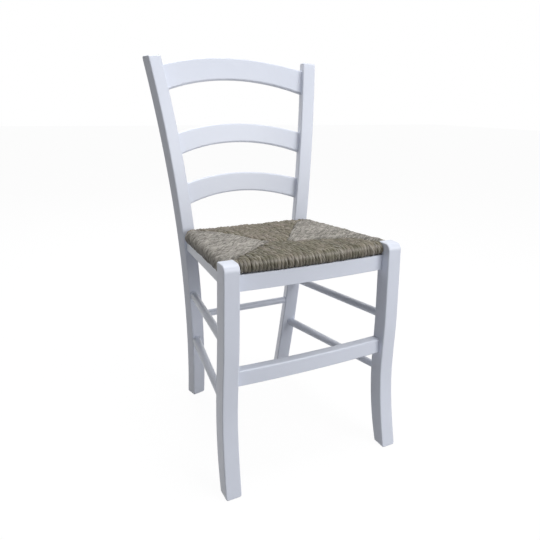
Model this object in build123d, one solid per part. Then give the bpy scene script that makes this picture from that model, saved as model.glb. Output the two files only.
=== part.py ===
from build123d import *
import os
from math import asin, atan2, cos, degrees, hypot, radians, sin, tan

# A wooden dining chair with sabre front legs, a splayed ladder back and a woven rush seat.
# Millimetres and degrees. X runs across the chair, Y from front to back, Z up from the floor.
# While the chair is laid out, Y = 0 is the front face of the front legs above the knee.

# Front legs: sawn boards, straight above the knee, with a calf and a foot kicked forward
leg_spread = 411.0
leg_width = 33.0
leg_depth = 36.5
leg_height = 468.0
leg_foot_depth = 30.5
leg_foot_offset = 16.0
leg_calf_front_set = 5.7
leg_calf_back_set = 4.5
leg_calf_height = 172.0
leg_knee_height = 315.0
leg_foot_front_slope_share = 0.20
leg_foot_back_slope_share = 0.33
leg_top_front_round = 14.5
leg_top_back_round = 3.0
leg_edge_round = 2.5

# Rear posts: sawn boards, turned to face the sitter and splayed outwards towards the top
post_height = 867.0
post_width = 33.5
post_foot_depth = 29.5
post_top_depth = 34.0
post_spread = 235.6
post_setting = 365.6
post_turn = 13.2
post_splay = 5.4
post_waist_height = 320.0
post_foot_offset = 28.6
post_top_offset = 90.2
post_foot_slope_share = 0.192
post_top_slope_share = 0.315
post_top_round = 5.5
post_edge_round = 3.0
sole_round = 5.0

# Back slats: bowed in plan to meet the turned posts square, and arched along both edges
slat_thickness = 14.0
slat_setback = 16.0
slat_edge_round = 4.0
slat_tenon_thickness = 8.0
slat_tenon_length = 18.0
slat_shoulder = 8.0
top_slat_end = 65.5
top_slat_middle = 57.5
top_slat_rise = 38.5
middle_slat_end = 54.5
middle_slat_middle = 48.0
middle_slat_rise = 31.5
lower_slat_end = 54.5
lower_slat_middle = 48.0
lower_slat_rise = 26.5
lower_slat_gap_share = 0.180
middle_slat_gap_share = 0.299
top_slat_gap_share = 0.445

# Aprons, flush with the inner corners of the front legs; the front one is bowed forward
rail_bow = 5.5
apron_thickness = 15.0
apron_height = 33.5
apron_tenon_thickness = 8.0
apron_tenon_length = 18.0
apron_shoulder = 3.0
apron_corner_set = 3.5
rear_apron_height = 32.0
rear_apron_thickness = 18.0
rear_apron_setback = 3.0
rear_tenon_length = 10.0
rail_edge_round = 1.5

# Stretchers: one flat bowed rail in front, round rods at the sides and the back
front_stretcher_bottom = 215.0
front_stretcher_height = 33.0
front_stretcher_thickness = 21.5
front_stretcher_setback = 16.7
front_stretcher_round = 3.0
front_stretcher_tenon = 12.0
front_stretcher_shoulder = 6.0
upper_rod_diameter = 17.4
upper_rod_leg_height = 299.0
upper_rod_post_height = 288.5
lower_rod_leg_diameter = 15.0
lower_rod_post_diameter = 20.5
lower_rod_leg_height = 170.5
lower_rod_post_height = 164.5
rear_rod_diameter = 17.0
rear_rod_height = 227.0
rod_socket = 16.0

# Seat: a rush-woven frame laid on the aprons, notched round the front legs
seat_slope = 1.85
seat_drop = 27.5
seat_thickness = 29.5
seat_front = 20.5
seat_front_bow = 11.0
seat_side_setback = 1.0
seat_rear_overhang = 3.8
seat_front_corner_round = 20.0
seat_rear_corner_round = 30.0
seat_top_roll = 16.5
seat_bottom_roll = 10.5
seat_post_gap = 1.0
rush_thickness = 5.5
left_apex_x = -48.0
left_apex_y = 133.0
right_apex_x = -11.0
right_apex_y = 120.0
right_front_bend_x = 135.0
right_front_bend_y = 92.0
left_rear_bend_x = -110.0
left_rear_bend_y = 280.0
right_rear_bend_x = 115.0
right_rear_bend_y = 300.0
seam_reach_share = 0.35

# Wooden frame inside the rush
front_rail_width = 36.0
side_rail_width = 24.0
rear_rail_width = 26.0
frame_tenon_thickness = 7.0
frame_tenon_width = 12.0
frame_tenon_length = 14.0

# Wood screws that hold the seat down through the side aprons
screw_diameter = 4.5
screw_head_diameter = 8.6
screw_head_height = 3.2
screw_length = 38.0
screw_cover = 18.0
screw_well_diameter = 10.0
screw_front_place = 48.0
screw_rear_place = 264.0

# Clearances, and how far cutting tools reach past a face
glue_line = 0.1
seat_clearance = 0.3
overrun = 5.0
right_angle = 90.0

leg_inside = leg_spread / 2 - leg_width
leg_centre = leg_spread / 2 - leg_width / 2
seat_pivot = leg_depth - apron_thickness
seat_rest = leg_height - seat_drop
apron_bottom = seat_rest - apron_height
seat_front_width = leg_spread - 2 * seat_side_setback
across = Vector(1, 0, 0)


# Planes that the pieces are laid out in
def turned_post_plane():
    """Board of the right post, seen from outside: x runs back and y up along the board."""
    turn_x = sin(radians(post_turn))
    turn_y = cos(radians(post_turn))
    return Plane(origin=(post_spread / 2, post_setting, 0), x_dir=(turn_x, turn_y, 0),
                 z_dir=(turn_y, -turn_x, -turn_y * tan(radians(post_splay))))


post_plane = turned_post_plane()
seat_plane = Plane(origin=(0, seat_pivot, seat_rest), x_dir=across,
                   z_dir=(0, sin(radians(seat_slope)), cos(radians(seat_slope))))


def along_post(height):
    """Length along the post's board that reaches a height above the floor."""
    return height / post_plane.y_dir.Z


def post_share(height):
    """How far a height lies from the waist towards the top, from 0 to 1."""
    return max(0, (height - post_waist_height) / (post_height - post_waist_height))


def post_line(height):
    """Offset of the post's centre line behind its waist at a height above the floor."""
    if height < post_waist_height:
        rise, slope = post_waist_height + overrun, post_foot_slope_share
        away = post_foot_offset + slope * overrun
        t = (post_waist_height - height) / rise
    else:
        rise, away, slope = post_height - post_waist_height, post_top_offset, post_top_slope_share
        t = post_share(height)
    return away * (3 * t**2 - 2 * t**3) + slope * rise * (t**3 - t**2)


def post_depth(height):
    """Depth of the post from front to back at a height above the floor."""
    t = post_share(height)
    return post_foot_depth + (post_top_depth - post_foot_depth) * (3 * t**2 - 2 * t**3)


def post_front(height, back, out):
    """Point behind the right post's front face and outwards from its middle, at a height."""
    offset = post_line(height) - post_depth(height) / 2 + back
    return post_plane.from_local_coords(Vector(offset, along_post(height), out))


seat_rear_width = 2 * (post_front(seat_rest, 0, post_width / 2).X + seat_rear_overhang)


# Shared shapes
def curve(start, end, start_slope, end_slope):
    """Smooth edge between two points whose slopes are the change of x for each y."""
    third = (end[1] - start[1]) / 3
    return Bezier(start, (start[0] + start_slope * third, start[1] + third),
                  (end[0] - end_slope * third, end[1] - third), end)


def block(x, y, z):
    """Box between pairs of limits along X, Y and Z."""
    size = Box(x[1] - x[0], y[1] - y[0], z[1] - z[0])
    return Pos((x[0] + x[1]) / 2, (y[0] + y[1]) / 2, (z[0] + z[1]) / 2) * size


def prism(points, low, high):
    """Upright prism on a polygon between two heights."""
    return extrude(Pos(0, 0, low) * make_face(Polyline(*points, close=True)), amount=high - low)


def bowed_block(reach, y, z):
    """Block that ends at both reaches along X, bowed forward in the middle."""
    arcs = [ThreePointArc((-reach, place), (0, place - rail_bow), (reach, place)) for place in y]
    ends = [Line((side, y[0]), (side, y[1])) for side in (-reach, reach)]
    return extrude(Pos(0, 0, z[0]) * make_face(arcs + ends), amount=z[1] - z[0])


def rod(ends, diameters, grow=0):
    """Round or tapered rod between two points, or its socket when it is grown."""
    start, end = ends
    axis = (end - start).normalized()
    rings = [Plane(origin=start - axis * grow, z_dir=axis) * Circle(diameters[0] / 2 + grow),
             Plane(origin=end + axis * grow, z_dir=axis) * Circle(diameters[1] / 2 + grow)]
    return loft(rings)


def round_board(board, plane, radius):
    """Round a standing board's sole at its sides, then every edge round the broad faces."""
    depth = Axis(plane.origin, plane.x_dir)
    board = fillet(board.faces().sort_by(Axis.Z)[0].edges().filter_by(depth), sole_round)
    rim = [edge for face in board.faces().filter_by(plane) for edge in face.edges()
           if edge.bounding_box().max.Z > 2 * sole_round]
    foot = board.edges().filter_by(lambda edge: edge.bounding_box().max.Z < 2 * sole_round)
    sides = foot.filter_by(depth)
    return fillet(rim + [edge for edge in foot if edge not in sides], radius)


def round_long_edges(solid, shortest, radius):
    """Round every edge that is longer than a length."""
    return fillet([edge for edge in solid.edges() if edge.length > shortest], radius)


def kept(solid, plane, keep):
    """One side of a solid that is cut by a plane."""
    return split(solid, bisect_by=plane, keep=keep)


def mirrored(solid):
    """The same piece on the left of the chair."""
    return mirror(solid, about=Plane.YZ)


def between_posts(solid, depth):
    """Cut a symmetric piece off inside both posts, at a depth behind their inner faces."""
    face = post_plane.offset(depth - post_width / 2)
    return kept(mirrored(kept(solid, face, Keep.BOTTOM)), face, Keep.BOTTOM)


# Front leg
def front_leg_blank():
    plane = Plane(origin=(leg_centre, 0, 0), x_dir=(0, 1, 0), z_dir=across)
    foot_back = leg_foot_depth - leg_foot_offset
    front = [(-leg_foot_offset, 0), (leg_calf_front_set, leg_calf_height), (0, leg_knee_height)]
    back = [(foot_back, 0), (leg_depth + leg_calf_back_set, leg_calf_height),
            (leg_depth, leg_knee_height)]
    top_front = (0, leg_height)
    top_back = (leg_depth, leg_height)
    outline = [
        curve(front[0], front[1], leg_foot_front_slope_share, 0),
        curve(front[1], front[2], 0, 0),
        Line(front[2], top_front),
        Line(top_front, top_back),
        Line(back[2], top_back),
        curve(back[1], back[2], 0, 0),
        curve(back[0], back[1], leg_foot_back_slope_share, 0),
        Line(front[0], back[0]),
    ]
    leg = extrude(plane * make_face(outline), amount=leg_width / 2, both=True)
    top = leg.edges().filter_by(Axis.X).sort_by(Axis.Z)[-2:].sort_by(Axis.Y)
    leg = fillet(top[0], leg_top_front_round)
    top = leg.edges().filter_by(Axis.X).sort_by(Axis.Z)[-1]
    leg = fillet(top, leg_top_back_round)
    return round_board(leg, plane, leg_edge_round)


# Rear post
def post_edge(offset_share):
    """Front or back edge of the post's board, from below the floor to the top."""
    foot = (post_line(-overrun) + offset_share * post_foot_depth, -overrun)
    waist = (offset_share * post_foot_depth, along_post(post_waist_height))
    top = (post_top_offset + offset_share * post_top_depth, along_post(post_height))
    return [curve(foot, waist, -post_foot_slope_share, 0),
            curve(waist, top, 0, post_top_slope_share)]


def post_blank():
    front = post_edge(-1 / 2)
    back = post_edge(1 / 2)
    ends = [Line(front[0] @ 0, back[0] @ 0), Line(front[-1] @ 1, back[-1] @ 1)]
    post = extrude(post_plane * make_face(front + back + ends), amount=post_width / 2, both=True)
    thickness = Axis(post_plane.origin, post_plane.z_dir)
    post = fillet(post.edges().filter_by(thickness).sort_by(Axis.Z)[-2:], post_top_round)
    return round_board(kept(post, Plane.XY, Keep.TOP), post_plane, post_edge_round)


def space_before_post():
    """All that lies before the front face of the right post, short of a glue line."""
    front = post_edge(-1 / 2)
    far = post_front(post_waist_height, -post_setting, 0)
    reach = post_plane.to_local_coords(far).X
    ends = [Line(front[0] @ 0, (reach, -overrun)), Line(front[-1] @ 1, (reach, along_post(post_height))),
            Line((reach, -overrun), (reach, along_post(post_height)))]
    space = extrude(post_plane * make_face(front + ends), amount=post_spread, both=True)
    return Pos(0, -glue_line, 0) * space


# Slats
def slat_layout(height, end):
    """Plane of a slat, its half span between the posts and the radius of its bow."""
    low = post_front(height, slat_setback, -post_width / 2)
    high = post_front(height + end, slat_setback, -post_width / 2)
    lean = atan2(high.Y - low.Y, high.Z - low.Z)
    plane = Plane(origin=(0, low.Y, low.Z), x_dir=across, z_dir=(0, sin(lean), cos(lean)))
    return plane, low.X, low.X / sin(radians(post_turn))


def bowed_band(layout, inner, thickness, low, high):
    """Part of the slat's bent board: a thickness behind its front face, between two heights."""
    plane, span, radius = layout
    turn = post_turn + degrees((slat_tenon_length + 2 * overrun) / radius)
    centre = (0, span * tan(radians(post_turn / 2)) - radius)
    arcs = [CenterArc(centre, radius + inner, right_angle - turn, 2 * turn),
            CenterArc(centre, radius + inner + thickness, right_angle - turn, 2 * turn)]
    ends = [Line(arcs[0] @ 0, arcs[1] @ 0), Line(arcs[0] @ 1, arcs[1] @ 1)]
    return extrude(plane * Pos(0, 0, low) * make_face(arcs + ends), amount=high - low)


def arch(span, end, crown):
    """Arched edge through a height at both posts and a height in the middle."""
    rise = crown - end
    radius = (span**2 + rise**2) / (2 * rise)
    half = degrees(asin((span + slat_tenon_length) / radius))
    return CenterArc((0, crown - radius), radius, right_angle - half, 2 * half)


def slat(height, end, middle, rise):
    """A slat with its tenons, and the tenons grown into mortises."""
    layout = slat_layout(height, end)
    plane, span, radius = layout
    lower = arch(span, 0, rise)
    upper = arch(span, end, rise + middle)
    outline = make_face([lower, upper, Line(lower @ 0, upper @ 0), Line(lower @ 1, upper @ 1)])
    front = Plane(origin=plane.origin, x_dir=across, z_dir=-plane.y_dir)
    profile = extrude(front * outline, amount=2 * span, both=True)
    body = bowed_band(layout, 0, slat_thickness, -overrun, rise + middle + overrun) & profile
    body = round_long_edges(between_posts(body, -glue_line), span, slat_edge_round)
    inner = (slat_thickness - slat_tenon_thickness) / 2
    tenons = []
    for grow in (0, glue_line):
        band = bowed_band(layout, inner - grow, slat_tenon_thickness + 2 * grow,
                          slat_shoulder - grow, end - slat_shoulder + grow)
        band = between_posts(band, slat_tenon_length + grow)
        tenons.append(band - between_posts(band, -overrun))
    return body + tenons[0], tenons[1]


# Aprons
def lower_tenon_height():
    return apron_bottom + apron_shoulder, apron_bottom + apron_height / 2 - apron_shoulder / 2


def upper_tenon_height():
    return apron_bottom + apron_height / 2 + apron_shoulder / 2, seat_rest - apron_shoulder


def grown(limits, grow):
    return limits[0] - grow, limits[1] + grow


def front_apron():
    reach = leg_inside - glue_line
    body = bowed_block(reach, (seat_pivot, leg_depth), (apron_bottom, seat_rest + overrun))
    body = round_long_edges(kept(body, seat_plane, Keep.BOTTOM), leg_inside, rail_edge_round)
    middle = leg_depth - apron_thickness / 2
    tenons = []
    for grow in (0, glue_line):
        reach = leg_inside + apron_tenon_length + grow
        limits = grown((middle - apron_tenon_thickness / 2, middle + apron_tenon_thickness / 2), grow)
        tenons.append(block((-reach, reach), limits, grown(lower_tenon_height(), grow)))
    return body + tenons[0], tenons[1]


def side_apron_plane():
    """Outer face line of the right apron: x runs back along it and y inwards."""
    start = Vector(leg_inside + apron_thickness, leg_depth, 0)
    corner = post_front(apron_bottom, 0, post_width / 2 - apron_corner_set)
    end = Vector(corner.X, corner.Y, 0)
    return Plane(origin=start, x_dir=(end - start).normalized(), z_dir=(0, 0, 1)), (end - start).length


def side_apron():
    plane, length = side_apron_plane()
    body = plane * block((-apron_thickness, length + post_width), (0, apron_thickness),
                         (apron_bottom, seat_rest + overrun))
    body = kept(body, Plane(origin=(0, leg_depth + glue_line, 0), z_dir=(0, 1, 0)), Keep.TOP)
    body = kept(body & space_before_post(), seat_plane, Keep.BOTTOM)
    body = round_long_edges(body, length / 2, rail_edge_round)
    middle = apron_thickness / 2
    rear_top = apron_bottom + apron_height - length * tan(radians(seat_slope)) - apron_shoulder
    tenons = []
    for grow in (0, glue_line):
        limits = grown((middle - apron_tenon_thickness / 2, middle + apron_tenon_thickness / 2), grow)
        front = block((-apron_tenon_length - grow, overrun), limits,
                      grown(upper_tenon_height(), grow))
        rear = block((length - overrun, length + apron_tenon_length + grow), limits,
                     grown((apron_bottom + apron_shoulder, rear_top), grow))
        tenons.append(plane * (front + rear))
    return body + tenons[0], tenons[1]


def rear_apron():
    face = post_front(apron_bottom, rear_apron_setback, -post_width / 2)
    reach = face.X + post_width
    top = seat_rest - (face.Y + rear_apron_thickness - seat_pivot) * tan(radians(seat_slope))
    bottom = top - rear_apron_height
    body = block((-reach, reach), (face.Y, face.Y + rear_apron_thickness), (bottom, top))
    body = round_long_edges(between_posts(body, -glue_line), face.X, rail_edge_round)
    middle = face.Y + rear_apron_thickness / 2
    tenons = []
    for grow in (0, glue_line):
        limits = grown((middle - apron_tenon_thickness / 2, middle + apron_tenon_thickness / 2), grow)
        bar = block((-reach, reach), limits, grown((bottom + apron_shoulder, top - apron_shoulder), grow))
        tenons.append(between_posts(bar, rear_tenon_length + grow))
    return body + tenons[0], tenons[1]


# Stretchers
def front_stretcher():
    reach = leg_inside - glue_line
    depth = (front_stretcher_setback, front_stretcher_setback + front_stretcher_thickness)
    top = front_stretcher_bottom + front_stretcher_height
    body = bowed_block(reach, depth, (front_stretcher_bottom, top))
    body = round_long_edges(body, leg_inside, front_stretcher_round)
    middle = front_stretcher_setback + front_stretcher_thickness / 2
    tenons = []
    for grow in (0, glue_line):
        reach = leg_inside + apron_tenon_length + grow
        limits = grown((middle - front_stretcher_tenon / 2, middle + front_stretcher_tenon / 2), grow)
        height = grown((front_stretcher_bottom + front_stretcher_shoulder,
                        top - front_stretcher_shoulder), grow)
        tenons.append(block((-reach, reach), limits, height))
    return body + tenons[0], tenons[1]


def side_rod_ends(leg_end, post_end, leg_back):
    """Both ends of a side rod, sunk into the front leg and the rear post."""
    start = Vector(leg_centre, leg_back - rod_socket, leg_end)
    return start, post_front(post_end, rod_socket, 0)


def rear_rod_ends():
    middle = post_front(rear_rod_height, post_depth(rear_rod_height) / 2, rod_socket - post_width / 2)
    return Vector(-middle.X, middle.Y, middle.Z), middle


# Seat
def on_seat(x, y):
    """Place on the seat plane of a point that is given in plan."""
    return x, (y - seat_pivot) / cos(radians(seat_slope))


def seat_rear():
    return post_front(seat_rest, 0, 0).Y - seat_post_gap


def seat_form(inset):
    """Rounded seat, drawn in by an inset all round and notched round the front legs."""
    front = seat_front_width / 2 - inset
    rear = seat_rear_width / 2 - inset
    low = on_seat(0, seat_front)[1] + inset
    high = on_seat(0, seat_rear())[1] - inset
    outline = [ThreePointArc((-front, low), (0, low - seat_front_bow), (front, low)),
               Polyline((front, low), (rear, high), (-rear, high), (-front, low))]
    face = make_face(outline)
    corners = face.vertices().sort_by(Axis.Y)
    face = fillet(corners[-2:], seat_rear_corner_round - inset)
    corners = face.vertices().sort_by(Axis.Y)
    face = fillet(corners[:2], seat_front_corner_round - inset)
    slab = extrude(Pos(0, 0, inset) * face, amount=seat_thickness - 2 * inset)
    slab = fillet(slab.faces().sort_by(Axis.Z)[-1].edges(), seat_top_roll - inset)
    slab = fillet(slab.faces().sort_by(Axis.Z)[0].edges(), seat_bottom_roll - inset)
    slab = seat_plane * slab
    inside = leg_inside - seat_clearance - inset
    behind = leg_depth + seat_clearance + inset
    notch = block((inside, leg_spread), (-leg_depth, behind), (apron_bottom, leg_height + leg_depth))
    return slab - notch - mirrored(notch)


def seam(corner, *bends):
    """Seam on the seat plane, from past a corner of the seat through its bends."""
    points = [on_seat(*point) for point in bends]
    x, y = on_seat(*corner)
    past = (x + (x - points[0][0]) * seam_reach_share, y + (y - points[0][1]) * seam_reach_share)
    return [past] + points


def rush_panels():
    """The woven shell, parted along its seams into four panels."""
    shell = seat_form(0) - seat_form(rush_thickness)
    corner_x = seat_rear_width / 2 - seat_bottom_roll
    corner_y = seat_rear() - seat_bottom_roll
    left = (left_apex_x, left_apex_y)
    right = (right_apex_x, right_apex_y)
    front_left = seam((-leg_inside, leg_depth), left)
    front_right = seam((leg_inside, leg_depth), (right_front_bend_x, right_front_bend_y), right)
    back_left = seam((-corner_x, corner_y), (left_rear_bend_x, left_rear_bend_y), left)
    back_right = seam((corner_x, corner_y), (right_rear_bend_x, right_rear_bend_y), right)
    far = seat_front_width
    fields = {
        "rush_front_panel": [(-far, -far)] + front_left + front_right[::-1] + [(far, -far)],
        "rush_back_panel": [(far, far)] + back_right + back_left[::-1] + [(-far, far)],
        "rush_left_panel": [(-far, far)] + back_left[:-1] + front_left[::-1] + [(-far, -far)],
        "rush_right_panel": [(far, -far)] + front_right[:-1] + back_right[::-1] + [(far, far)],
    }
    return {name: shell & (seat_plane * prism(points, -overrun, seat_thickness + overrun))
            for name, points in fields.items()}


def side_rail_field(grow):
    """Room of the right side rail, wide enough to cut it out of the core."""
    slope = (seat_front_width - seat_rear_width) / 2 / (on_seat(0, seat_rear())[1]
                                                        - on_seat(0, seat_front)[1])
    inner = seat_front_width / 2 - rush_thickness - side_rail_width - grow
    near = on_seat(0, 0)[1]
    far = on_seat(0, post_setting)[1]
    front = on_seat(0, seat_front)[1]
    points = ((inner - (near - front) * slope, near), (seat_front_width, near),
              (seat_front_width, far), (inner - (far - front) * slope, far))
    return seat_plane * prism(points, -overrun, seat_thickness + overrun)


def frame_tenon(x, y, grow):
    """Tenon of a cross rail in the right side rail."""
    middle = seat_thickness / 2
    box = block(grown((x - overrun, x + frame_tenon_length), grow),
                grown((y - frame_tenon_width / 2, y + frame_tenon_width / 2), grow),
                grown((middle - frame_tenon_thickness / 2, middle + frame_tenon_thickness / 2), grow))
    return seat_plane * box


def seat_frame():
    """Rails and stuffing inside the rush."""
    core = seat_form(rush_thickness + glue_line)
    behind_leg = on_seat(0, leg_depth + seat_clearance + rush_thickness)[1]
    front_end = on_seat(0, seat_front)[1] + rush_thickness + front_rail_width
    rear_start = on_seat(0, seat_rear())[1] - rush_thickness - rear_rail_width
    rear_end = on_seat(0, seat_rear())[1]
    slope = (seat_front_width - seat_rear_width) / 2 / (rear_end - on_seat(0, seat_front)[1])
    fields = {}
    for grow in (0, glue_line):
        side = side_rail_field(grow)
        reach = (-seat_front_width, seat_front_width)
        high = (-overrun, seat_thickness + overrun)
        front = seat_plane * block(reach, (on_seat(0, 0)[1] - leg_foot_offset, front_end + grow), high)
        rear = seat_plane * block(reach, (rear_start - grow, rear_end + overrun), high)
        fields[grow] = (side + mirrored(side), front, rear)
    sides, front, rear = fields[0]
    wide_sides, wide_front, wide_rear = fields[glue_line]
    front_y = (behind_leg + front_end) / 2
    rear_y = rear_start + rear_rail_width / 2
    inner = seat_front_width / 2 - rush_thickness - side_rail_width
    start = on_seat(0, seat_front)[1]
    places = [(inner - (y - start) * slope, y) for y in (front_y, rear_y)]
    side_rail = core & side_rail_field(0)
    for x, y in places:
        side_rail -= frame_tenon(x, y, glue_line)
    front_rail = (core & front) - wide_sides
    rear_rail = (core & rear) - wide_sides
    tenons = [frame_tenon(x, y, 0) for x, y in places]
    front_rail = front_rail + tenons[0] + mirrored(tenons[0])
    rear_rail = rear_rail + tenons[1] + mirrored(tenons[1])
    stuffing = core - wide_sides - wide_front - wide_rear
    return side_rail, front_rail, rear_rail, stuffing


# Screws
def screw_places():
    plane, length = side_apron_plane()
    for along in (screw_front_place, screw_rear_place):
        yield plane.from_local_coords(Vector(along, apron_thickness / 2, 0))


def screw_plane(place):
    return Plane(origin=seat_plane.from_local_coords(Vector(*on_seat(place.X, place.Y), 0)),
                 x_dir=across, z_dir=seat_plane.z_dir)


def screw(place, grow=0):
    """Countersunk screw, or the hole that fits it when it is grown."""
    upright = (Align.CENTER, Align.CENTER, Align.MIN)
    head = Cone(screw_head_diameter / 2 + grow, screw_diameter / 2 + grow, screw_head_height,
                align=upright)
    shank = Cylinder(screw_diameter / 2 + grow, screw_length - screw_diameter + grow, align=upright)
    tip = Cone(screw_diameter / 2 + grow, glue_line + grow, screw_diameter, align=upright)
    body = head + shank + Pos(0, 0, screw_length - screw_diameter + grow) * tip
    return screw_plane(place) * Pos(0, 0, -screw_cover) * body


def screw_well(place):
    """Bore from below that lets the screw's head into the apron."""
    well = Cylinder(screw_well_diameter / 2, apron_height, align=(Align.CENTER, Align.CENTER, Align.MAX))
    return screw_plane(place) * Pos(0, 0, -screw_cover) * well


# Put the pieces together
pieces = {}
leg = front_leg_blank()
post = post_blank()

free_height = post_height - leg_height - top_slat_end - middle_slat_end - lower_slat_end
lower_height = leg_height + free_height * lower_slat_gap_share
middle_height = lower_height + lower_slat_end + free_height * middle_slat_gap_share
top_height = middle_height + middle_slat_end + free_height * top_slat_gap_share
slats = {
    "top_slat": slat(top_height, top_slat_end, top_slat_middle, top_slat_rise),
    "middle_slat": slat(middle_height, middle_slat_end, middle_slat_middle, middle_slat_rise),
    "lower_slat": slat(lower_height, lower_slat_end, lower_slat_middle, lower_slat_rise),
}
for name, (body, mortise) in slats.items():
    pieces[name] = body
    post -= mortise

pieces["front_apron"], mortise = front_apron()
leg -= mortise
apron, mortise = side_apron()
leg -= mortise
post -= mortise
pieces["rear_apron"], mortise = rear_apron()
post -= mortise
pieces["front_stretcher"], mortise = front_stretcher()
leg -= mortise

upper_ends = side_rod_ends(upper_rod_leg_height, upper_rod_post_height, leg_depth)
lower_ends = side_rod_ends(lower_rod_leg_height, lower_rod_post_height, leg_depth + leg_calf_back_set)
for name, ends, diameters in (
        ("upper", upper_ends, (upper_rod_diameter, upper_rod_diameter)),
        ("lower", lower_ends, (lower_rod_leg_diameter, lower_rod_post_diameter))):
    piece = rod(ends, diameters)
    socket = rod(ends, diameters, glue_line)
    leg -= socket
    post -= socket
    pieces[f"right_{name}_stretcher"] = piece
    pieces[f"left_{name}_stretcher"] = mirrored(piece)
rear_diameters = (rear_rod_diameter, rear_rod_diameter)
pieces["rear_stretcher"] = rod(rear_rod_ends(), rear_diameters)
post -= rod(rear_rod_ends(), rear_diameters, glue_line)

side_rail, front_rail, rear_rail, stuffing = seat_frame()
panels = rush_panels()
screws = []
for place in screw_places():
    hole = screw(place, glue_line)
    apron -= hole
    apron -= screw_well(place)
    side_rail -= hole
    panels["rush_right_panel"] -= hole
    panels["rush_left_panel"] -= mirrored(hole)
    screws += [screw(place), mirrored(screw(place))]

pieces["right_apron"] = apron
pieces["left_apron"] = mirrored(apron)
pieces["front_right_leg"] = leg
pieces["front_left_leg"] = mirrored(leg)
pieces["rear_right_post"] = post
pieces["rear_left_post"] = mirrored(post)
pieces["seat_right_rail"] = side_rail
pieces["seat_left_rail"] = mirrored(side_rail)
pieces["seat_front_rail"] = front_rail
pieces["seat_rear_rail"] = rear_rail
pieces["seat_stuffing"] = stuffing
pieces["seat_screws"] = Compound(children=screws)
pieces.update(panels)

# Stand the chair over the origin and write one file for each piece
boxes = [piece.bounding_box() for piece in pieces.values()]
front_reach = min(box.min.Y for box in boxes)
back_reach = max(box.max.Y for box in boxes)
to_origin = Pos(0, -(front_reach + back_reach) / 2, 0)
os.makedirs("parts", exist_ok=True)
for name, piece in pieces.items():
    solids = [to_origin * solid for solid in piece.solids()]
    export_step(Compound(children=solids) if len(solids) > 1 else solids[0], f"parts/{name}.step")
print("laid out at", to_origin.position.Y, "and wrote", len(pieces), "pieces")
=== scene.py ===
"""Finish of a wooden dining chair: satin white lacquer on the frame and a hand-woven rush seat."""
import math
import random

import bmesh
import bpy
from mathutils import Euler, Matrix, Vector, noise


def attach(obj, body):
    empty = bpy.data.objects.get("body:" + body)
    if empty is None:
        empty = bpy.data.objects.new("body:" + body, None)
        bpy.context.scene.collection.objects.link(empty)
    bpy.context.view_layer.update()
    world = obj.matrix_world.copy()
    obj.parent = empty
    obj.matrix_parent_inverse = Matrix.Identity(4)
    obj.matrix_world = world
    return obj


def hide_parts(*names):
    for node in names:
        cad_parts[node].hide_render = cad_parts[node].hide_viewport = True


bl_info = {
    "name": "Rush seat dining chair",
    "version": (1, 0, 0),
    "blender": (4, 5, 0),
    "location": "3D View > Sidebar > Chair",
    "description": "Lacquers the chair's frame, weaves its rush seat and sets a plain studio",
    "category": "Object",
}

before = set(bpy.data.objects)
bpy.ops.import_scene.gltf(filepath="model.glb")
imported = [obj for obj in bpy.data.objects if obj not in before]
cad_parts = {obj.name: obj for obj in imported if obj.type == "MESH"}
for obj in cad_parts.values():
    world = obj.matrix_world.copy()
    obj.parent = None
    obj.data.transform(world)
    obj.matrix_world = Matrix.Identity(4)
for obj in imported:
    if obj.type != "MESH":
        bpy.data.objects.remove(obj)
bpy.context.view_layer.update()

# Nodes of the chair, the lacquered ones by the way that their grain runs
UPRIGHT_NODES = ("front_left_leg", "front_right_leg", "rear_left_post", "rear_right_post")
CROSSWISE_NODES = ("top_slat", "middle_slat", "lower_slat", "front_apron", "rear_apron",
                   "front_stretcher", "rear_stretcher")
LENGTHWISE_NODES = ("left_apron", "right_apron", "left_upper_stretcher", "left_lower_stretcher",
                    "right_upper_stretcher", "right_lower_stretcher")
RAIL_NODES = ("seat_front_rail", "seat_rear_rail", "seat_left_rail", "seat_right_rail")

# From the place that the seat and the camera were measured in to the chair's own origin
LAYOUT_SHIFT = -0.22924

# The rush seat's own plane, in metres: it rests on the front apron and falls towards the back
LEG_BACK = 0.0365
APRON_THICKNESS = 0.015
SEAT_REST = 0.4405
SEAT_SLOPE = math.radians(1.85)
SEAT_THICKNESS = 0.0295
TOP_ROLL = 0.0165
BOTTOM_ROLL = 0.0105

# The seat's outline and the seams of its panels in plan, in metres
HALF_FRONT = 0.2045
HALF_REAR = 0.175
LEG_INSIDE = 0.1725
FRONT_EDGE = 0.0205
FRONT_BOW = 0.011
REAR_EDGE = 0.3398
REAR_CORNER = 0.030
LEFT_APEX = (-0.048, 0.133)
RIGHT_APEX = (-0.011, 0.120)
RIGHT_FRONT_BEND = (0.135, 0.092)
LEFT_REAR_BEND = (-0.110, 0.280)
RIGHT_REAR_BEND = (0.115, 0.300)

# Where the strands lie, in metres: the outer ones start a little past the legs' faces
LEG_CLEARANCE = 0.0040
LEG_BACK_CLEARANCE = 0.0046
STRAND_STEP = 0.0045
SEAM_OVERLAP = 0.0012
PLACE_JITTER = 0.0006
WELD_DISTANCE = 0.000002

# How often the layer's lumps come, and the most that a roll is drawn out at a round corner
LUMPS_PER_METRE = 28.0
MOST_STRETCH = 2.2

# A strand's section, and its girth: it is pressed wide on the level parts, less on the edge
SECTION_POINTS = 10
SECTION_ROUND = 0.91
SECTION_OVAL = 0.09
LEVEL_GIRTH = 1.2
EDGE_GIRTH = 1.06

# How much strands differ from each other, as shares of their settings or in metres
TWIST_SHARES = (0.75, 1.3)
GIRTH_SHARES = (0.84, 1.08)
LOCAL_GIRTH_SHARES = (0.96, 1.04)
WAVE_LENGTHS = (0.05, 0.12)
LIFT_WAVE_SHARE = 0.45
SWELL_WAVE_SHARE = 0.3
LIFT_SHARE = 0.5
SWELL_SHARE = 0.08

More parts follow.
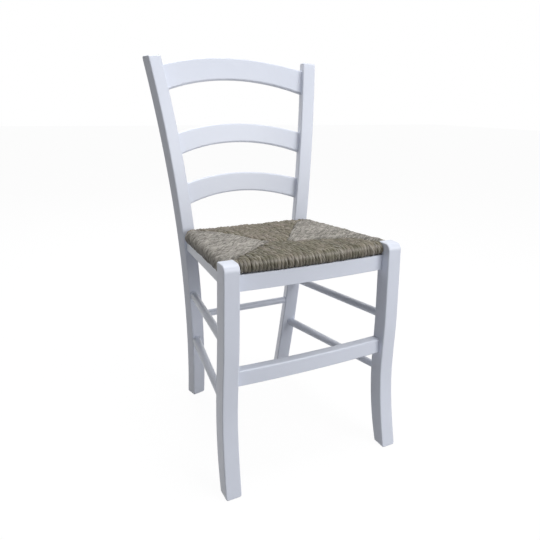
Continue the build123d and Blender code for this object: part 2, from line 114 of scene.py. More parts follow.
# The last points of a strand at each end: how deep they duck under the seam, and their girth
END_DUCKS = (0.0045, 0.0020, 0.0005)
END_GIRTHS = (0.50, 0.82, 0.96)

# A loose leaf edge: its girths from end to end, how far it leans, stands off and sinks in.
# The last value is the length that its finish takes it to have, in metres
LEAF_GIRTHS = (0.04, 0.09, 0.12, 0.10, 0.08, 0.04)
LEAF_LEAN = 0.14
LEAF_LIFTS = (-0.0002, 0.0003)
LEAF_RISE = 0.93
LEAF_LENGTH = 0.03

# Tone and length of the faces that close a strand's ends
CAP_TONE, CAP_LENGTH = 0.5, 0.1

# Noise is drawn out along the grain of the wood
ALONG_GRAIN = 0.06

# Streaks of the leaves: per metre along a strand, per turn round it, and apart between strands
STREAKS_ALONG = 34.0
STREAKS_ROUND = 11.0
STREAKS_APART = 90.0

# How much a strand's own tone, its leaves, their fibres and large patches lighten the rush
STRAND_WEIGHT = 0.25
LEAF_WEIGHT = 1.3
FIBRE_WEIGHT = 0.9
PATCH_WEIGHT = 0.5
BASE_LIGHT = 0.12
DARKEST, LIGHTEST = 0.45, 1.7
DARK_RUSH_CONTRAST, LIGHT_RUSH_CONTRAST = 1.0, 1.6

# How much patches and a strand's own tone turn its leaves from the first colour to the second
PATCH_HUE, STRAND_HUE, BASE_HUE = 2.0, 0.35, -0.75

# Where the rush changes colour: painted shade at its ends and low over the plane that it rests on,
# a painted highlight at its brow, and its bleached leaves
TIP_LENGTH = 0.00556
BROW_HEIGHT = 0.0205
BROW_REACH = 0.00556
LOW_SHADE_HEIGHTS = (0.020, 0.0018)
CREVICE_HEIGHTS = (0.0045, 0.0020)
BLEACHED_LEAVES = (0.56, 0.685)

# How far each of these colours covers the rush
TIP_SHADE_SHARE = 0.7
BROW_SHARE = 0.40
LOW_SHADE_SHARE = 0.42
CREVICE_SHADE_SHARE = 0.65
BLEACHED_SHARE = 0.6

# Studio, in metres: soft lamps that face the chair's middle, and the camera's place and aim
LAMP_SIDE = 1.5
LAMP_DISTANCE = 2.5
CHAIR_MIDDLE = (0.0, 0.0, 0.5)
LAMPS = {
    "overhead_lamp": ("overhead_power", (0.10, -0.10, 1.0)),
    "front_lamp": ("front_power", (0.42, -0.80, 0.28)),
    "back_lamp": ("back_power", (0.0, 0.80, 0.70)),
}
WARM_WHITE = (1.0, 0.985, 0.95, 1.0)
WHITE = (1.0, 1.0, 1.0, 1.0)
FLOOR_GLOW = 1.12
FLOOR_GLOW_SHARE = 0.85
CAMERA_PLACE = (-0.55449, -0.86129 + LAYOUT_SHIFT, 0.76223)
CAMERA_TILT = math.radians(90 - 10.028)
CAMERA_AZIMUTH = math.radians(-27.300)
CAMERA_ROLL = math.radians(1.015)
CAMERA_LENS = 35.584
CAMERA_SENSOR = 36.0
CAMERA_SHIFT = (-0.00415, -0.13623)


# Sizes and colours that a user may change
class LacquerSettings(bpy.types.PropertyGroup):
    colour: bpy.props.FloatVectorProperty(
        name="Lacquer", description="Colour of the satin lacquer", subtype="COLOR", size=3,
        min=0.0, max=1.0, default=(0.735, 0.775, 0.88))
    roughness: bpy.props.FloatProperty(
        name="Roughness", description="How matt the lacquer is", subtype="FACTOR",
        min=0.0, max=1.0, default=0.36)
    grain_depth: bpy.props.FloatProperty(
        name="Grain depth", description="How far the wood's pores show through the lacquer",
        subtype="DISTANCE", unit="LENGTH", min=0.0, default=0.00006)


class RushSettings(bpy.types.PropertyGroup):
    pitch: bpy.props.FloatProperty(
        name="Pitch", description="Distance between neighbouring strands", subtype="DISTANCE",
        unit="LENGTH", min=0.003, default=0.0076)
    strand_radius: bpy.props.FloatProperty(
        name="Strand radius", description="Half the thickness of a twisted strand",
        subtype="DISTANCE", unit="LENGTH", min=0.001, default=0.0047)
    twist_length: bpy.props.FloatProperty(
        name="Twist length", description="Length in which a strand turns once",
        subtype="DISTANCE", unit="LENGTH", min=0.01, default=0.050)
    crown: bpy.props.FloatProperty(
        name="Crown", description="Rise of the stuffed middle of the seat", subtype="DISTANCE",
        unit="LENGTH", min=0.0, default=0.0035)
    waviness: bpy.props.FloatProperty(
        name="Waviness", description="How far a strand wanders to its sides",
        subtype="DISTANCE", unit="LENGTH", min=0.0, default=0.0006)
    raggedness: bpy.props.FloatProperty(
        name="Raggedness", description="How unevenly the strands end along the seams",
        subtype="DISTANCE", unit="LENGTH", min=0.0, default=0.0050)
    lumps: bpy.props.FloatProperty(
        name="Lumps", description="How far the layer of strands rises and falls",
        subtype="DISTANCE", unit="LENGTH", min=0.0, default=0.0012)
    stray_leaves: bpy.props.IntProperty(
        name="Stray leaves", description="Loose leaf edges on each panel",
        min=0, max=600, default=24)
    olive: bpy.props.FloatVectorProperty(
        name="Olive rush", description="Colour of the greener leaves in front and at the back",
        subtype="COLOR", size=3, min=0.0, max=1.0, default=(0.188, 0.175, 0.120))
    brown: bpy.props.FloatVectorProperty(
        name="Brown rush", description="Colour of the browner leaves in front and at the back",
        subtype="COLOR", size=3, min=0.0, max=1.0, default=(0.198, 0.166, 0.141))
    pale: bpy.props.FloatVectorProperty(
        name="Pale rush", description="Colour of the paler leaves at the sides",
        subtype="COLOR", size=3, min=0.0, max=1.0, default=(0.334, 0.318, 0.283))
    grey: bpy.props.FloatVectorProperty(
        name="Grey rush", description="Colour of the greyer leaves at the sides",
        subtype="COLOR", size=3, min=0.0, max=1.0, default=(0.301, 0.280, 0.263))
    # Painted shade: this colour darkens the strands' ends and the edges low over the seat's plane
    painted_shade: bpy.props.FloatVectorProperty(
        name="Sheltered rush", description="Colour low on the edges, where light bleaches least",
        subtype="COLOR", size=3, min=0.0, max=1.0, default=(0.096, 0.091, 0.097))
    # This colour also paints the highlight on the brow of the front and back
    bleach_and_highlight: bpy.props.FloatVectorProperty(
        name="Bleached leaf", description="Colour of the single leaves that light has bleached",
        subtype="COLOR", size=3, min=0.0, max=1.0, default=(0.470, 0.440, 0.410))
    seed: bpy.props.IntProperty(
        name="Seed", description="Chooses how the strands lie", min=0, default=7)


class HiddenSettings(bpy.types.PropertyGroup):
    rail_colour: bpy.props.FloatVectorProperty(
        name="Seat rails", description="Colour of the sawn wood inside the rush",
        subtype="COLOR", size=3, min=0.0, max=1.0, default=(0.16, 0.12, 0.085))
    straw_colour: bpy.props.FloatVectorProperty(
        name="Stuffing", description="Colour of the packed straw", subtype="COLOR", size=3,
        min=0.0, max=1.0, default=(0.20, 0.16, 0.10))
    steel_colour: bpy.props.FloatVectorProperty(
        name="Screws", description="Colour of the zinc plated screws", subtype="COLOR",
        size=3, min=0.0, max=1.0, default=(0.62, 0.62, 0.60))


class StageSettings(bpy.types.PropertyGroup):
    overhead_power: bpy.props.FloatProperty(
        name="Overhead lamp", description="Power of the large soft lamp above the chair",
        subtype="POWER", unit="POWER", min=0.0, default=41.0)
    front_power: bpy.props.FloatProperty(
        name="Front lamp", description="Power of the soft lamp in front, to the chair's right",
        subtype="POWER", unit="POWER", min=0.0, default=32.0)
    back_power: bpy.props.FloatProperty(
        name="Back lamp", description="Power of the soft lamp high behind the chair",
        subtype="POWER", unit="POWER", min=0.0, default=18.0)
    ambient: bpy.props.FloatProperty(
        name="Ambient light", description="Brightness of the even light from all sides",
        subtype="FACTOR", min=0.0, max=2.0, default=0.17)
    floor_size: bpy.props.FloatProperty(
        name="Floor", description="Side of the square floor", subtype="DISTANCE",
        unit="LENGTH", min=2.0, default=30.0)
    floor_colour: bpy.props.FloatVectorProperty(
        name="Floor colour", description="Colour of the floor under the chair",
        subtype="COLOR", size=3, min=0.0, max=1.0, default=(0.42, 0.42, 0.43))


# Shader maths
def plug(node, sockets):
    """Give a node's sockets, by name or number, their values or links."""
    for key, value in sockets.items():
        if isinstance(value, Socket):
            value.tree.links.new(node.inputs[key], value.link)
        else:
            node.inputs[key].default_value = value


class Socket:
    """An output of a shader node. Python's operators on it add Math nodes."""

    def __init__(self, tree, link=None):
        self.tree = tree
        self.link = link

    def node(self, kind, settings=None, sockets=None, output=0):
        """A new node of a type, with its settings and the values or links of its sockets."""
        made = self.tree.nodes.new(kind)
        for name, value in (settings or {}).items():
            setattr(made, name, value)
        plug(made, sockets or {})
        return Socket(self.tree, made.outputs[output])

    def beside(self, output):
        """Another output of the same node."""
        return Socket(self.tree, self.link.node.outputs[output])

    def maths(self, operation, other=0.0):
        """This value and another one through a Math node."""
        return self.node("ShaderNodeMath", {"operation": operation}, {0: self, 1: other})

    def __add__(self, other):
        return self.maths("ADD", other)

    def __sub__(self, other):
        return self.maths("SUBTRACT", other)

    def __rsub__(self, other):
        return self.node("ShaderNodeMath", {"operation": "SUBTRACT"}, {0: other, 1: self})

    def __mul__(self, other):
        return self.maths("MULTIPLY", other)

    __radd__ = __add__
    __rmul__ = __mul__

    def clamped(self):
        """This value kept between 0 and 1."""
        return self.node("ShaderNodeClamp", sockets={"Value": self})

    def passing(self, start, end):
        """0 until this value gets to the start, 1 once it is past the end."""
        return ((self - start) * (1.0 / (end - start))).clamped()

    def mixed(self, first, second):
        """First colour where this value is 0, second where it is 1."""
        # A Mix node's colours are its sockets 6 and 7, and its mixed colour is output 2
        return self.node("ShaderNodeMix", {"data_type": "RGBA"}, {0: self, 6: first, 7: second},
                         output=2)

    def tinted(self, factor):
        """This colour made darker or lighter."""
        return self.node("ShaderNodeVectorMath", {"operation": "SCALE"},
                         {0: self, "Scale": factor})

    def stretched(self, scale):
        """This vector with each of its axes scaled."""
        return self.node("ShaderNodeMapping", {"vector_type": "POINT"},
                         {"Vector": self, "Scale": scale})

    def axis(self, name):
        """One coordinate of this vector."""
        return self.node("ShaderNodeSeparateXYZ", sockets={"Vector": self}, output=name)

    def noise(self, scale, detail=2.0, roughness=0.5, distortion=0.0):
        """Noise at this place, with so many waves per metre or per unit of the vector."""
        return self.node("ShaderNodeTexNoise", sockets={
            "Vector": self, "Scale": scale, "Detail": detail, "Roughness": roughness,
            "Distortion": distortion})

    def bump(self, distance):
        """A normal that rises by a distance where this value goes from 0 to 1."""
        return self.node("ShaderNodeBump", sockets={"Height": self, "Distance": distance})


def shade(colour, factor=1.0):
    """A colour made darker or lighter, with its alpha."""
    return tuple(min(1.0, part * factor) for part in colour) + (1.0,)


def new_material(name):
    """A new material, its shader and its Object coordinates."""
    material = bpy.data.materials.new(name)
    material.use_nodes = True
    tree = material.node_tree
    place = Socket(tree).node("ShaderNodeTexCoord", output="Object")
    return material, tree.nodes["Principled BSDF"], place


def lacquer(name, settings, grain):
    """Satin lacquer sprayed on wood whose grain runs along the small number of the vector."""
    material, shader, place = new_material(name)
    pores = place.stretched(grain).noise(60.0, detail=4.0, roughness=0.6)
    cloud = place.noise(7.0)
    peel = place.noise(900.0, detail=1.0)
    tone = (cloud * 0.6 + pores * 0.4).clamped()
    plug(shader, {
        "Base Color": tone.mixed(shade(settings.colour, 0.965), shade(settings.colour, 1.03)),
        "Roughness": pores * 0.10 + (settings.roughness - 0.05),
        "Specular IOR Level": 0.45,
        "Coat Weight": 0.15,
        "Coat Roughness": 0.25,
        "Normal": (pores + peel * 0.25).bump(settings.grain_depth),
    })
    return material


def rush(name, first, second, contrast, brow_highlight, settings):
    """Twisted rush in two colours: leaves that turn with the strand, and each strand's own tone.

    Contrast sets how strong the leaves' streaks are; the fifth argument sets how strongly a painted
    highlight lightens the edge's brow. Painted shade darkens each strand's ends and the edge low
    over the seat's plane.
    """
    material, shader, place = new_material(name)
    around = place.node("ShaderNodeUVMap", {"uv_map": "UVMap"})
    own = place.node("ShaderNodeAttribute", {"attribute_name": "strand_tone"}, output="Fac")
    length = place.node("ShaderNodeAttribute", {"attribute_name": "strand_length"}, output="Fac")
    lie = place.node("ShaderNodeCombineXYZ", sockets={
        "X": around.axis("X") * length * STREAKS_ALONG, "Y": around.axis("Y") * STREAKS_ROUND,
        "Z": own * STREAKS_APART})
    fibres = lie.stretched((1.0, 3.0, 1.0)).noise(1.0, detail=3.0, roughness=0.7)
    leaves = lie.noise(1.0)
    patches = place.noise(30.0, detail=3.0, roughness=0.6)

    # Colour of the leaves
    hue = (patches * PATCH_HUE + own * STRAND_HUE + BASE_HUE).clamped()
    streaks = leaves * LEAF_WEIGHT + fibres * FIBRE_WEIGHT - (LEAF_WEIGHT + FIBRE_WEIGHT) / 2
    light = own * STRAND_WEIGHT + streaks * contrast + patches * PATCH_WEIGHT + BASE_LIGHT
    colour = hue.mixed(shade(first), shade(second))
    colour = light.clamped().mixed(colour.tinted(DARKEST), colour.tinted(LIGHTEST))
    colour = (leaves.passing(*BLEACHED_LEAVES) * BLEACHED_SHARE).mixed(
        colour, shade(settings.bleach_and_highlight))

    # Painted shade: a strand is darkened near its ends, where it dives under at the seam
    from_end = (1.0 - (around.axis("X") * 2.0 - 1.0).maths("ABSOLUTE")) * length * 0.5
    tip_shade = from_end.passing(TIP_LENGTH, 0.0)
    colour = (tip_shade * TIP_SHADE_SHARE).mixed(colour, shade(settings.painted_shade, 0.6))

    # Painted highlight: the edge is made pale at its brow. Painted shade: it is made darker towards
    # the plane that it rests on, nearly black in the crevice just over it
    rest = LEG_BACK - APRON_THICKNESS + LAYOUT_SHIFT
    height = ((place.axis("Z") - SEAT_REST) * math.cos(SEAT_SLOPE)
              + (place.axis("Y") - rest) * math.sin(SEAT_SLOPE))
    brow = (height - BROW_HEIGHT).maths("ABSOLUTE").passing(BROW_REACH, 0.0)
    low_shade = height.passing(*LOW_SHADE_HEIGHTS)
    crevice_shade = height.passing(*CREVICE_HEIGHTS)
    colour = (brow * brow_highlight).mixed(colour, shade(settings.bleach_and_highlight))
    colour = (low_shade * LOW_SHADE_SHARE).mixed(colour, shade(settings.painted_shade))
    colour = (crevice_shade * CREVICE_SHADE_SHARE).mixed(colour, shade(settings.painted_shade, 0.3))
    plug(shader, {
        "Base Color": colour,
        "Roughness": fibres * 0.3 + 0.5,
        "Specular IOR Level": 0.30,
        "Normal": (fibres + leaves * 0.6).bump(0.0008),
    })
    return material


def loose_leaf(name, settings):
    """Dry leaf edge that has come loose from a strand."""
    material, shader, place = new_material(name)
    bleach = place.noise(60.0, detail=3.0)
    plug(shader, {
        "Base Color": bleach.mixed(shade(settings.grey, 0.7), shade(settings.bleach_and_highlight)),
        "Roughness": bleach * 0.2 + 0.6,
    })
    return material


def sawn_wood(name, colour):
    """Unfinished sawn wood for the rails inside the seat."""
    material, shader, place = new_material(name)
    grain = place.stretched((1.0, 0.25, 1.0)).noise(
        90.0, detail=5.0, roughness=0.6, distortion=0.4)
    plug(shader, {
        "Base Color": grain.mixed(shade(colour, 0.75), shade(colour, 1.25)),
        "Roughness": grain * 0.2 + 0.6,
        "Normal": grain.bump(0.0003),
    })
    return material


def straw(name, colour):
    """Packed straw that fills the pocket between the layers of rush."""
    material, shader, place = new_material(name)
    stalks = place.stretched((1.0, 0.15, 1.0)).noise(420.0, detail=3.0, distortion=1.5)
    plug(shader, {
        "Base Color": stalks.mixed(shade(colour, 0.5), shade(colour, 1.4)),
        "Roughness": stalks * 0.2 + 0.65,
        "Normal": stalks.bump(0.001),
    })
    return material


def zinc(name, colour):
    """Zinc plated steel with a fine turned finish."""
    material, shader, place = new_material(name)
    turned = place.noise(1500.0)
    plug(shader, {
        "Base Color": turned.mixed(shade(colour, 0.9), shade(colour, 1.05)),
        "Metallic": 1.0,
        "Roughness": turned * 0.15 + 0.3,
        "Normal": turned.bump(0.00005),
    })
    return material


def dress(names, material):
    """Give nodes a material, in their mesh's one material slot."""
    for name in names:
        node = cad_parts[name]
        node.data.materials.clear()
        node.data.materials.append(material)


def add_object(data):
    """A new object in the scene, at the origin and with the name of its data."""
    made = bpy.data.objects.new(data.name, data)
    bpy.context.scene.collection.objects.link(made)
    return made


# The seat's form
def on_seat(y):
    """Distance along the seat's plane of a place that is given in plan."""
    return (y - LEG_BACK + APRON_THICKNESS) / math.cos(SEAT_SLOPE)


def laid(place):
    """A place in plan, laid on the seat's plane."""
    return place[0], on_seat(place[1])


def seat_point(x, along, height):
    """A point in the chair's frame from its place on the seat's plane and its height over it."""
    y = LEG_BACK - APRON_THICKNESS + along * math.cos(SEAT_SLOPE) + height * math.sin(SEAT_SLOPE)
    z = SEAT_REST - along * math.sin(SEAT_SLOPE) + height * math.cos(SEAT_SLOPE)
    return Vector((x, y + LAYOUT_SHIFT, z))


def bent_line(value, points):
    """Height of a bent line through points at a value, level past its ends."""
    points = sorted(points)
    if value <= points[0][0]:
        return points[0][1]
    for (a, low), (b, high) in zip(points, points[1:]):
        if value <= b:
            return low + (high - low) * (value - a) / (b - a)
    return points[-1][1]


def rounded_end(past):
    """How far a round corner of the seat reaches out at a distance past the corner's start."""
    return math.sqrt(max(0.0, REAR_CORNER**2 - max(0.0, past)**2)) - REAR_CORNER


def front_edge(x):
    """How far the bowed front reaches, outwards from the middle."""
    return FRONT_BOW * (1 - (x / HALF_FRONT) ** 2) - on_seat(FRONT_EDGE)


def rear_edge(x):
    """How far the rear edge reaches, which is straight up to its round corners."""
    return on_seat(REAR_EDGE) + rounded_end(abs(x) - (HALF_REAR - REAR_CORNER))


def side_edge(along):
    """How far a side reaches, which narrows towards the back."""
    front, rear = on_seat(FRONT_EDGE), on_seat(REAR_EDGE)
    half = HALF_FRONT + (HALF_REAR - HALF_FRONT) * (along - front) / (rear - front)
    return half + rounded_end(along - (rear - REAR_CORNER))


def crown_rise(x, along, settings):
    """Rise of the stuffed seat at a place on its plane."""
    front, rear = on_seat(FRONT_EDGE), on_seat(REAR_EDGE)
    middle = (front + rear) / 2
    return settings.crown * max(0.0, 1 - (x / HALF_FRONT) ** 2) * max(
        0.0, 1 - ((along - middle) / (rear - middle)) ** 2)


class WovenPanel:
    """One woven panel: where its strands lie, start at the seam and pass over the edge."""

    def __init__(self, name, crosswise, side, first, last, seam, edge, tone=0.0, spread=1.0):
        self.name = name
        self.crosswise = crosswise
        self.side = side
        self.first = first
        self.last = last
        self.seam = seam
        self.edge = edge
        self.tone = tone
        self.spread = spread

    def on_plane(self, place, out):
        """A place along the edge and outwards from the middle, as x and along of the seat."""
        return (self.side * out, place) if self.crosswise else (place, self.side * out)

    def point(self, place, out, height):
        """Point of a strand at its place along the edge, outwards from the middle and up."""
        return seat_point(*self.on_plane(place, out), height)


def seat_panels():
    """The four panels with their seams, as they are cut in the chair's solids."""
    front_y, rear_y = on_seat(LEG_BACK), on_seat(REAR_EDGE - BOTTOM_ROLL)
    corner = HALF_REAR - BOTTOM_ROLL
    front_seams = [(-LEG_INSIDE, front_y), laid(LEFT_APEX), (LEG_INSIDE, front_y),
                   laid(RIGHT_FRONT_BEND), laid(RIGHT_APEX)]
    rear_seams = [(-corner, rear_y), laid(LEFT_REAR_BEND), laid(LEFT_APEX),
                  (corner, rear_y), laid(RIGHT_REAR_BEND), laid(RIGHT_APEX)]
    left_seams = [(along, -x) for x, along in front_seams[:2] + rear_seams[:3]]
    right_seams = [(along, x) for x, along in front_seams[2:] + rear_seams[3:]]
    inside = LEG_INSIDE - LEG_CLEARANCE
    behind = front_y + LEG_BACK_CLEARANCE
    return [
        WovenPanel("rush_front_panel", False, -1, -inside, inside,
                   lambda x: -bent_line(x, front_seams), front_edge, tone=-0.5),
        WovenPanel("rush_back_panel", False, 1, -corner, corner,
                   lambda x: bent_line(x, rear_seams), rear_edge),
        WovenPanel("rush_left_panel", True, -1, behind, rear_y,
                   lambda along: bent_line(along, left_seams), side_edge, tone=-0.35),
        # The right panel's strands get the lowest tone, painted shade that offsets the front lamp's
        # light on that side
        WovenPanel("rush_right_panel", True, 1, behind, rear_y,
                   lambda along: bent_line(along, right_seams), side_edge, tone=-1.0,
                   spread=1.6),
    ]


# The strands
def strand_route(panel, place, settings, dice):
    """Where a strand runs, outwards and up, and its girth: from the seam over the edge and back."""
    radius = settings.strand_radius
    edge = panel.edge(place)
    lean = (panel.edge(place + STRAND_STEP) - panel.edge(place - STRAND_STEP)) / (2 * STRAND_STEP)
    stretch = min(MOST_STRETCH, math.sqrt(1 + lean**2))
    top_out = edge - TOP_ROLL * stretch
    bottom_out = edge - BOTTOM_ROLL * stretch
    start = panel.seam(place) - SEAM_OVERLAP + dice.uniform(-0.5, 0.5) * settings.raggedness
    route = []

    # Along the top
    count = max(2, int((top_out - start) / STRAND_STEP))
    for i in range(count):
        out = start + (top_out - start) * i / count
        rise = crown_rise(*panel.on_plane(place, out), settings)
        route.append((out, SEAT_THICKNESS - LEVEL_GIRTH * radius + rise, LEVEL_GIRTH))

    # Round the top roll and the bottom roll
    for angles, centre, roll, inner in (
            ((90, 75, 60, 45, 30, 15, 0), SEAT_THICKNESS - TOP_ROLL, TOP_ROLL, top_out),
            ((0, -22.5, -45, -67.5, -90), BOTTOM_ROLL, BOTTOM_ROLL, bottom_out)):
        for angle in map(math.radians, angles):
            girth = EDGE_GIRTH + (LEVEL_GIRTH - EDGE_GIRTH) * abs(math.sin(angle))
            route.append((inner + (edge - radius * girth - inner) * math.cos(angle),
                          centre + (roll - radius * girth) * math.sin(angle), girth))

    # Back along the underside
    count = max(2, int((bottom_out - start) / STRAND_STEP))
    for i in range(1, count + 1):
        route.append((bottom_out + (start - bottom_out) * i / count, LEVEL_GIRTH * radius,
                      LEVEL_GIRTH))
    return route


def lay_strand(panel, place, settings, dice):
    """Points, girth and turn of one strand, which wanders and ducks under at the seam."""
    route = strand_route(panel, place, settings, dice)
    phases = [dice.uniform(0, 2 * math.pi) for _ in range(4)]
    wave = dice.uniform(*WAVE_LENGTHS)
    # The minus sign gives the twist its hand
    turn = -2 * math.pi / (settings.twist_length * dice.uniform(*TWIST_SHARES))
    own = dice.uniform(*GIRTH_SHARES)
    length = 0.0
    points = []

    def ripple(share, phase):
        """A wave along the strand, as long as a share of its own wave."""
        return math.sin(2 * math.pi * length / (share * wave) + phase)

    for i, (out, height, girth) in enumerate(route):
        if i:
            length += math.dist(route[i - 1][:2], (out, height))
        on_top = i < len(route) / 2
        sway = settings.waviness * ripple(1.0, phases[0])
        lift = LIFT_SHARE * settings.waviness * ripple(LIFT_WAVE_SHARE, phases[1])
        girth *= own * (1 + SWELL_SHARE * ripple(SWELL_WAVE_SHARE, phases[2]))
        if on_top:
            lumps = noise.noise(Vector((place, out, panel.crosswise)) * LUMPS_PER_METRE)
            lift += settings.lumps * lumps
        near_end = min(i, len(route) - 1 - i)
        if near_end < len(END_DUCKS):
            lift += END_DUCKS[near_end] * (-1 if on_top else 1)
            girth *= END_GIRTHS[near_end]
        points.append((panel.point(place + sway, out, height + lift),
                       girth * dice.uniform(*LOCAL_GIRTH_SHARES), phases[3] + turn * length))
    return points, length


def lay_stray_leaf(panel, place, settings, dice):
    """Points of a thin leaf edge that has come loose from a strand near the top or the nose."""
    route = strand_route(panel, place, settings, dice)
    over = [point for point in route if point[1] > BOTTOM_ROLL]
    spare = len(over) - len(LEAF_GIRTHS) + 1
    if spare < 2:
        return None
    first = dice.randrange(spare)
    lean = dice.uniform(-LEAF_LEAN, LEAF_LEAN)
    lift = dice.uniform(*LEAF_LIFTS)
    last = len(LEAF_GIRTHS) - 1
    points = []
    for i, leaf_girth in enumerate(LEAF_GIRTHS):
        out, height, girth = over[first + i]
        rise = settings.strand_radius * girth * LEAF_RISE + lift * math.sin(math.pi * i / last)
        side = (i - last / 2) * STRAND_STEP * lean
        # A strand's outside is up on the top and outwards on the nose
        below = SEAT_THICKNESS - settings.strand_radius - height
        facing = min(1.0, max(0.0, below / TOP_ROLL)) * math.pi / 2
        point = panel.point(place + side, out + rise * math.sin(facing),
                            height + rise * math.cos(facing))
        points.append((point, leaf_girth, 0.0))
    return points


def add_curve(name, dimensions, splines, closed=False):
    """A curve object of straight splines, each a list of points with a girth and a turn."""
    data = bpy.data.curves.new(name, "CURVE")
    data.dimensions = dimensions
    for points in splines:
        line = data.splines.new("POLY")
        line.points.add(len(points) - 1)
        line.use_cyclic_u = closed
        for point, (where, girth, turn) in zip(line.points, points):
            point.co = (*where, 1.0)
            point.radius = girth
            point.tilt = turn
    return add_object(data)


def strand_section(radius):
    """Cross section of two leaves twisted together, as a closed curve."""
    points = []
    for i in range(SECTION_POINTS):
        angle = 2 * math.pi * i / SECTION_POINTS
        reach = radius * (SECTION_ROUND + SECTION_OVAL * math.cos(2 * angle))
        points.append(((reach * math.cos(angle), reach * math.sin(angle), 0.0), 1.0, 0.0))
    return add_curve("strand section", "2D", [points], closed=True)


def strand_mesh(name, strands, section):
    """A mesh of twisted strands, one tube with closed ends for each."""
    curve = add_curve(name + "_curve", "3D", [points for points, _ in strands])
    curve.data.twist_mode = "MINIMUM"
    curve.data.bevel_mode = "OBJECT"
    curve.data.bevel_object = section
    curve.data.use_fill_caps = True
    bpy.context.view_layer.update()
    mesh = bpy.data.meshes.new_from_object(
        curve.evaluated_get(bpy.context.evaluated_depsgraph_get()))
    bpy.data.objects.remove(curve)
    mesh.name = name
    return mesh


def weave(panel, settings, section, finishes, dice):
    """All strands of one panel as one mesh object, with each strand's tone and length."""
    width = panel.last - panel.first
    count = round(width / settings.pitch)
    strands, places = [], []
    for i in range(count + 1):
        place = panel.first + width * i / count + dice.uniform(-PLACE_JITTER, PLACE_JITTER)
        place = min(max(place, panel.first), panel.last)
        strands.append(lay_strand(panel, place, settings, dice))
        places.append(place)
    for _ in range(settings.stray_leaves):
        leaf = lay_stray_leaf(panel, dice.choice(places[2:-2]), settings, dice)
        if leaf:
            strands.append((leaf, LEAF_LENGTH))
    mesh = strand_mesh(panel.name + "_strands", strands, section)

    # The faces that close the ends come first in the mesh, then each strand's sides in turn.
    # What comes after the panel's own strands are loose leaves, with the second finish
    sides = [(len(points) - 1) * SECTION_POINTS for points, _ in strands]
    caps = len(mesh.polygons) - sum(sides)
    tones, lengths, slots = [CAP_TONE] * caps, [CAP_LENGTH] * caps, [0] * caps
    for i, (number, (_, length)) in enumerate(zip(sides, strands)):
        tones += [dice.random() * panel.spread + panel.tone] * number
        lengths += [length] * number
        slots += [int(i > count)] * number
    mesh.materials.clear()
    for finish in finishes:
        mesh.materials.append(finish)
    mesh.polygons.foreach_set("material_index", slots)
    mesh.attributes.new("strand_tone", "FLOAT", "FACE").data.foreach_set("value", tones)
    mesh.attributes.new("strand_length", "FLOAT", "FACE").data.foreach_set("value", lengths)

    build = bmesh.new()
    build.from_mesh(mesh)
    bmesh.ops.remove_doubles(build, verts=build.verts, dist=WELD_DISTANCE)
    bmesh.ops.recalc_face_normals(build, faces=build.faces)
    for face in build.faces:
        face.smooth = True
    build.to_mesh(mesh)
    build.free()
    return add_object(mesh)


# Studio
def seen_directly(start):
    """1 for rays from the camera and for those that gloss or glass sends on."""
    camera = start.node("ShaderNodeLightPath", output="Is Camera Ray")
    return (camera + camera.beside("Is Glossy Ray")
            + camera.beside("Is Transmission Ray")).clamped()


def floor_paint(colour):
    """Pale floor that keeps a faint shadow where the camera sees it."""
    material, shader, place = new_material("floor_paint")
    plug(shader, {
        "Base Color": place.noise(3.0).mixed(shade(colour, 0.98), shade(colour, 1.02)),
        "Roughness": 0.9,
    })
    blend = place.node("ShaderNodeMixShader", sockets={
        0: seen_directly(place) * FLOOR_GLOW_SHARE,
        1: Socket(place.tree, shader.outputs["BSDF"]),
        2: place.node("ShaderNodeEmission", sockets={"Strength": FLOOR_GLOW})})
    plug(place.tree.nodes["Material Output"], {"Surface": blend})
    return material


def white_world(scene, ambient):
    """White surroundings that light the chair only softly."""
    world = bpy.data.worlds.new("white_studio")
    world.use_nodes = True
    nodes = world.node_tree.nodes
    start = Socket(world.node_tree)
    plug(nodes["Background"], {"Color": WARM_WHITE, "Strength": ambient})
    blend = start.node("ShaderNodeMixShader", sockets={
        0: seen_directly(start),
        1: Socket(world.node_tree, nodes["Background"].outputs["Background"]),
        2: start.node("ShaderNodeBackground", sockets={"Color": WHITE, "Strength": 1.0})})
    plug(nodes["World Output"], {"Surface": blend})
    scene.world = world


def lay_floor(settings):
    """Square floor under the chair."""
    build = bmesh.new()
    bmesh.ops.create_grid(build, x_segments=1, y_segments=1, size=settings.floor_size / 2)
    mesh = bpy.data.meshes.new("studio_floor")
    build.to_mesh(mesh)
    build.free()
    mesh.materials.append(floor_paint(settings.floor_colour))
    return add_object(mesh)


def soft_lamp(name, power, direction):
    """Large square lamp in a direction from the chair, turned to the chair's middle."""
    data = bpy.data.lights.new(name, "AREA")
    data.shape = "SQUARE"
    data.size = LAMP_SIDE
    data.energy = power
    lamp = add_object(data)
    away = Vector(direction).normalized()
    lamp.location = Vector(CHAIR_MIDDLE) + away * LAMP_DISTANCE
    lamp.rotation_euler = away.to_track_quat("Z", "Y").to_euler()


def aim_camera(scene):
    """Camera at the photograph's place, which was solved from the chair's corners."""
    data = bpy.data.cameras.new("photo_camera")
    data.lens = CAMERA_LENS
    data.sensor_width = CAMERA_SENSOR
    data.shift_x, data.shift_y = CAMERA_SHIFT
    camera = add_object(data)
    turn = Euler((CAMERA_TILT, 0.0, CAMERA_AZIMUTH)).to_matrix()
    turn = turn @ Matrix.Rotation(CAMERA_ROLL, 3, "Z")
    camera.matrix_world = Matrix.Translation(Vector(CAMERA_PLACE)) @ turn.to_4x4()
    scene.camera = camera


# Operators
class CHAIR_OT_set_stage(bpy.types.Operator):
    """Set the floor, the soft light and the camera"""
    bl_idname = "chair.set_stage"
    bl_label = "Set the studio"

    def execute(self, context):
        scene = context.scene
        settings = scene.chair_stage
        scene.view_settings.view_transform = "Standard"
        lay_floor(settings)
        white_world(scene, settings.ambient)
        for name, (power, direction) in LAMPS.items():
            soft_lamp(name, getattr(settings, power), direction)
        aim_camera(scene)
        return {"FINISHED"}


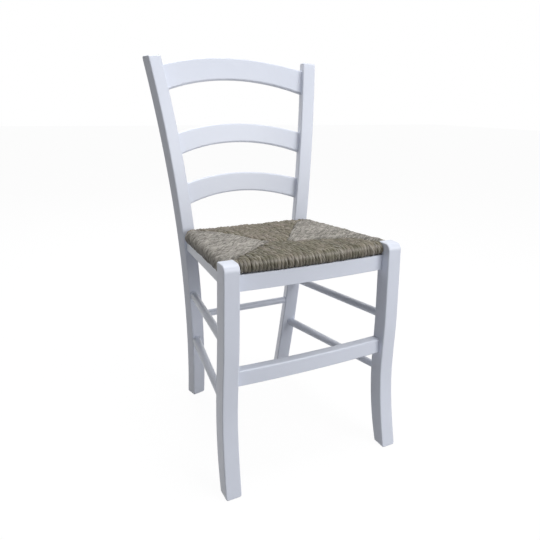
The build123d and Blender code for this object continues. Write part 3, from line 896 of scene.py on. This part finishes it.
class CHAIR_OT_lacquer_frame(bpy.types.Operator):
    """Give the legs, posts, slats, aprons and stretchers their satin lacquer"""
    bl_idname = "chair.lacquer_frame"
    bl_label = "Lacquer the frame"

    def execute(self, context):
        settings = context.scene.chair_lacquer
        for nodes, name, grain in (
                (UPRIGHT_NODES, "lacquer_upright", (1.0, 1.0, ALONG_GRAIN)),
                (CROSSWISE_NODES, "lacquer_crosswise", (ALONG_GRAIN, 1.0, 1.0)),
                (LENGTHWISE_NODES, "lacquer_lengthwise", (1.0, ALONG_GRAIN, 1.0))):
            dress(nodes, lacquer(name, settings, grain))
        return {"FINISHED"}


class CHAIR_OT_weave_seat(bpy.types.Operator):
    """Weave the four rush panels, strand by strand"""
    bl_idname = "chair.weave_seat"
    bl_label = "Weave the rush seat"

    def execute(self, context):
        settings = context.scene.chair_rush
        dice = random.Random(settings.seed)
        section = strand_section(settings.strand_radius)
        dark = rush("rush_front_and_back", settings.olive, settings.brown,
                    DARK_RUSH_CONTRAST, BROW_SHARE, settings)
        light = rush("rush_sides", settings.pale, settings.grey, LIGHT_RUSH_CONTRAST, 0.0,
                     settings)
        loose = loose_leaf("rush_loose_leaves", settings)
        for panel in seat_panels():
            finishes = (light if panel.crosswise else dark, loose)
            piece = weave(panel, settings, section, finishes, dice)
            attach(piece, "root")
            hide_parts(panel.name)
        bpy.data.objects.remove(section)
        return {"FINISHED"}


class CHAIR_OT_finish_inside(bpy.types.Operator):
    """Give the rails, the stuffing and the screws inside the seat their materials"""
    bl_idname = "chair.finish_inside"
    bl_label = "Finish the seat's inside"

    def execute(self, context):
        settings = context.scene.chair_hidden
        dress(RAIL_NODES, sawn_wood("sawn_rail_wood", settings.rail_colour))
        dress(("seat_stuffing",), straw("packed_straw", settings.straw_colour))
        dress(("seat_screws",), zinc("zinc_screw", settings.steel_colour))
        return {"FINISHED"}


class CHAIR_PT_finish(bpy.types.Panel):
    """Lists the chair's steps and their sizes and colours"""
    bl_idname = "CHAIR_PT_finish"
    bl_label = "Rush seat chair"
    bl_space_type = "VIEW_3D"
    bl_region_type = "UI"
    bl_category = "Chair"

    def draw(self, context):
        for operator, group, _ in STEPS:
            box = self.layout.box()
            box.operator(operator.bl_idname)
            settings = getattr(context.scene, group)
            for name in settings.__annotations__:
                box.prop(settings, name)


# Each step's operator, the name of its settings in the scene, and their group
STEPS = (
    (CHAIR_OT_set_stage, "chair_stage", StageSettings),
    (CHAIR_OT_lacquer_frame, "chair_lacquer", LacquerSettings),
    (CHAIR_OT_weave_seat, "chair_rush", RushSettings),
    (CHAIR_OT_finish_inside, "chair_hidden", HiddenSettings),
)


def register():
    """Make the settings, the operators and the panel known to Blender."""
    for operator, name, group in STEPS:
        bpy.utils.register_class(group)
        setattr(bpy.types.Scene, name, bpy.props.PointerProperty(type=group))
        bpy.utils.register_class(operator)
    bpy.utils.register_class(CHAIR_PT_finish)


def unregister():
    """Take them back, the last one first."""
    bpy.utils.unregister_class(CHAIR_PT_finish)
    for operator, name, group in reversed(STEPS):
        bpy.utils.unregister_class(operator)
        delattr(bpy.types.Scene, name)
        bpy.utils.unregister_class(group)


def main():
    """Make the whole scene."""
    register()
    for step in (bpy.ops.chair.set_stage, bpy.ops.chair.lacquer_frame, bpy.ops.chair.weave_seat,
                 bpy.ops.chair.finish_inside):
        if step() != {"FINISHED"}:
            raise RuntimeError(f"{step} did not finish")
    bpy.context.view_layer.update()


if __name__ == "__main__":
    main()
